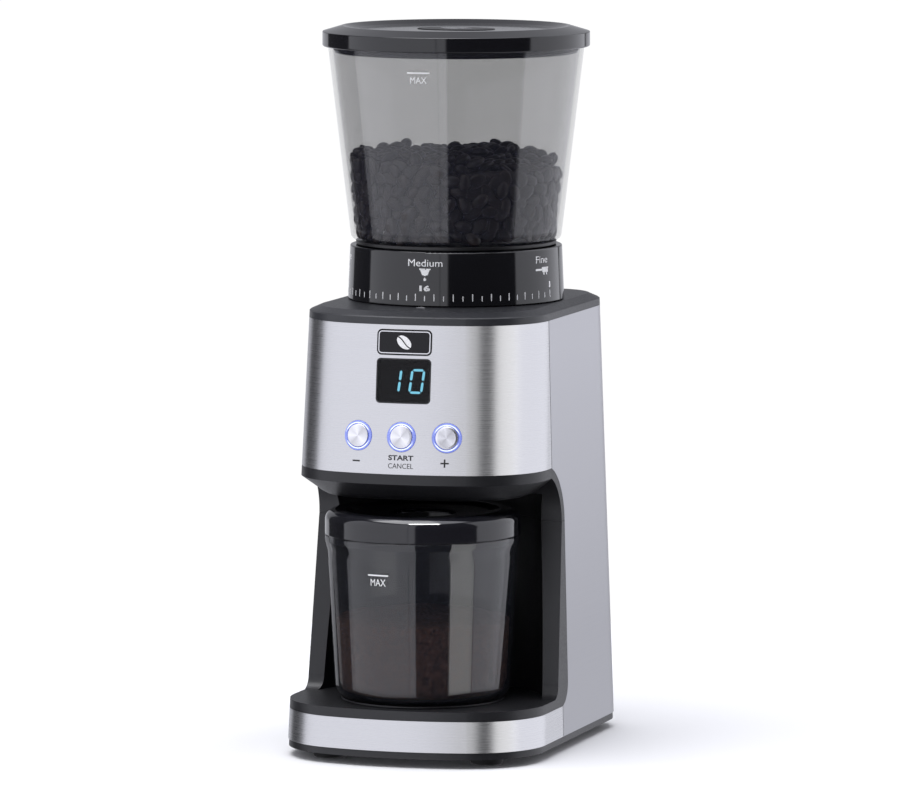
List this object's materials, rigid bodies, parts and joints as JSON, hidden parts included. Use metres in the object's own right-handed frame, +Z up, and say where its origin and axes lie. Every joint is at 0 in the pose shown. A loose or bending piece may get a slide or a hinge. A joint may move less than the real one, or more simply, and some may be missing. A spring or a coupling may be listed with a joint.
{
  "type": "burr coffee grinder",
  "caption": "Tapered countertop burr coffee grinder with clear bean hopper, turning setting ring, front buttons and display, and a pull-out lidded grounds canister in an open bay.",
  "frame": {"origin": "bottom centre of the bounding box, on the surface it stands on", "axes": "+Z up through the hopper, front with the buttons and canister towards -Y, +X to the machine's left seen from behind"},
  "size_m": [0.1452, 0.2052, 0.39],
  "materials": {
    "black_satin": "satin",
    "black_gloss": "gloss",
    "smoked_clear": "clear gloss",
    "smoked_dark": "clear gloss",
    "brushed_steel": "brushed",
    "silver_panel": "satin",
    "dark_grey": "satin",
    "rubber": "matte",
    "burr_steel": "ground",
    "screw_steel": "zinc plated",
    "magnet": "matte",
    "rotor_iron": "laminated",
    "white_nylon": "satin",
    "grey_plastic": "satin",
    "circuit_board": "satin",
    "chrome": "spun",
    "light_guide": "translucent",
    "display_smoke": "gloss",
    "display_cyan": "lit",
    "emblem_grey": "satin"
  },
  "bodies": {
    "housing": {"base_pan": "black_satin", "rubber_feet": "rubber", "base_screws": "screw_steel", "base_steel_band": "brushed_steel", "bay_liner": "black_satin", "head_chin": "black_satin", "front_panel": "brushed_steel", "left_side_panel": "silver_panel", "right_side_panel": "silver_panel", "rear_cover": "black_satin", "rear_cover_screws": "screw_steel", "cord_gland": "rubber", "top_deck": "dark_grey", "setting_pointer": "emblem_grey", "name_plate": "chrome", "button_light_rings": "light_guide", "display_window": "display_smoke", "display_digits": "display_cyan", "display_module": "black_satin", "control_board": "circuit_board", "tact_switches": "black_satin", "inner_frame": "grey_plastic", "power_board": "circuit_board", "gearbox_base": "grey_plastic", "gearbox_cover": "grey_plastic", "gearbox_screws": "screw_steel", "shaft_bearing_low": "chrome", "shaft_bearing_mid": "chrome", "shaft_bearing_top": "chrome", "idler_pin": "burr_steel", "motor_can": "screw_steel", "motor_magnets": "magnet", "motor_screws": "screw_steel", "burr_chamber": "black_satin", "grounds_chute": "black_satin", "canister_pad": "rubber"},
    "motor_drive": {"motor_shaft": "burr_steel", "motor_rotor": "rotor_iron", "motor_pinion": "white_nylon"},
    "idler": {"idler_gear": "white_nylon"},
    "burr_drive": {"burr_shaft": "burr_steel", "output_gear": "white_nylon", "impeller": "black_satin", "cone_burr": "burr_steel", "burr_nut": "screw_steel"},
    "setting_ring": {"grind_ring": "black_gloss"},
    "ring_burr_carrier": {"burr_carrier": "black_satin", "ring_burr": "burr_steel"},
    "bean_hopper": {"hopper": "smoked_clear", "hopper_collar": "black_satin"},
    "bean_hopper_lid": {"hopper_lid": "black_gloss", "lid_gasket": "rubber", "lid_emblem": "emblem_grey"},
    "grounds_canister": {"canister": "smoked_dark"},
    "grounds_canister_lid": {"canister_lid": "black_gloss"},
    "minus_button": {"button_minus": "chrome"},
    "start_button": {"button_start": "chrome"},
    "plus_button": {"button_plus": "chrome"}
  },
  "joints": [
    {"name": "burr_spin", "type": "hinge", "parent": "housing", "child": "burr_drive", "pos_m": [0, 0.0126, 0.2], "axis": [0, 0, 1], "continuous": true},
    {"name": "idler_spin", "type": "hinge", "parent": "housing", "child": "idler", "pos_m": [0.01202, 0.0352, 0.155], "axis": [0, 0, 1], "continuous": true},
    {"name": "motor_spin", "type": "hinge", "parent": "housing", "child": "motor_drive", "pos_m": [0, 0.0596, 0.11], "axis": [0, 0, 1], "continuous": true},
    {"name": "setting_turn", "type": "hinge", "parent": "housing", "child": "setting_ring", "pos_m": [0, 0.0126, 0.257], "axis": [0, 0, 1], "range_deg": [-76.5, 76.5]},
    {"name": "carrier_travel", "type": "slide", "parent": "setting_ring", "child": "ring_burr_carrier", "axis": [0, 0, 1], "range_m": [-0.0007, 0.0007]},
    {"name": "hopper_lift", "type": "slide", "parent": "housing", "child": "bean_hopper", "axis": [0, 0, 1], "range_m": [0, 0.08]},
    {"name": "hopper_lid_lift", "type": "slide", "parent": "bean_hopper", "child": "bean_hopper_lid", "axis": [0, 0, 1], "range_m": [0, 0.06]},
    {"name": "canister_pull", "type": "slide", "parent": "housing", "child": "grounds_canister", "axis": [0, -1, 0], "range_m": [0, 0.16]},
    {"name": "canister_lid_lift", "type": "slide", "parent": "grounds_canister", "child": "grounds_canister_lid", "axis": [0, 0, 1], "range_m": [0, 0.0065]},
    {"name": "minus_press", "type": "slide", "parent": "housing", "child": "minus_button", "axis": [0.1613, 0.9817, -0.1016], "range_m": [0, 0.0009], "stiffness_N_per_m": 400, "springref_m": -0.0006},
    {"name": "start_press", "type": "slide", "parent": "housing", "child": "start_button", "axis": [0, 0.9948, -0.1016], "range_m": [0, 0.0009], "stiffness_N_per_m": 400, "springref_m": -0.0006},
    {"name": "plus_press", "type": "slide", "parent": "housing", "child": "plus_button", "axis": [-0.1613, 0.9817, -0.1016], "range_m": [0, 0.0009], "stiffness_N_per_m": 400, "springref_m": -0.0006}
  ],
  "couplings": [
    {"joint": "idler_spin", "follows": "burr_spin", "ratio": -2.5556},
    {"joint": "motor_spin", "follows": "burr_spin", "ratio": 7.0988},
    {"joint": "carrier_travel", "follows": "setting_turn", "m_per_rad": 0.00047746}
  ]
}
